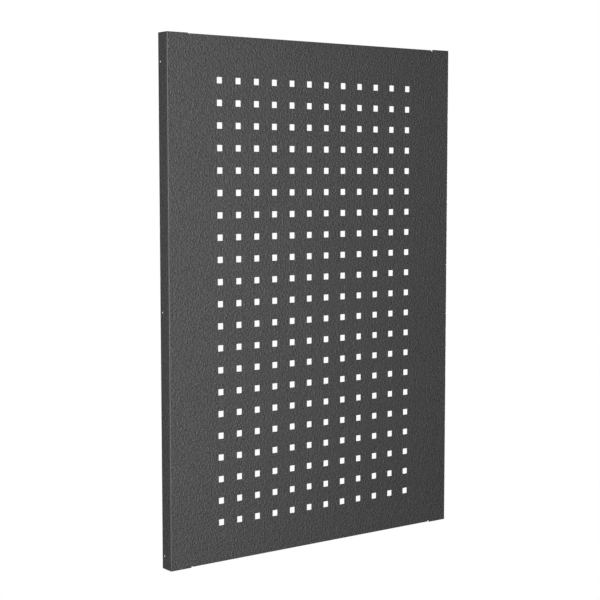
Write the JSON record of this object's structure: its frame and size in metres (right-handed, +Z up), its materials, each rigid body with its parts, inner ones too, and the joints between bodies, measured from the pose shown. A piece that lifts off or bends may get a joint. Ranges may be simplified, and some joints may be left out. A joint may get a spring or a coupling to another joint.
{
  "type": "perforated back panel",
  "caption": "Shallow folded sheet-steel back panel for a gondola shelving unit, punched with a grid of square peg holes, with side flanges that are screwed to uprights.",
  "frame": {"origin": "middle of the bottom of the bounding box: centred across the width and the depth, level with the lower edge of the corner tabs", "axes": "+X to the right seen from the front, +Y from the front face to the open rear, +Z up"},
  "size_m": [0.417, 0.0186, 0.6057],
  "materials": {
    "powder_coat": "charcoal powder coat with a fine wrinkle texture, low sheen"
  },
  "bodies": {
    "root": {"perforated_face": "powder_coat", "left_side_flange": "powder_coat", "right_side_flange": "powder_coat", "top_flange": "powder_coat", "bottom_flange": "powder_coat"}
  },
  "joints": []
}
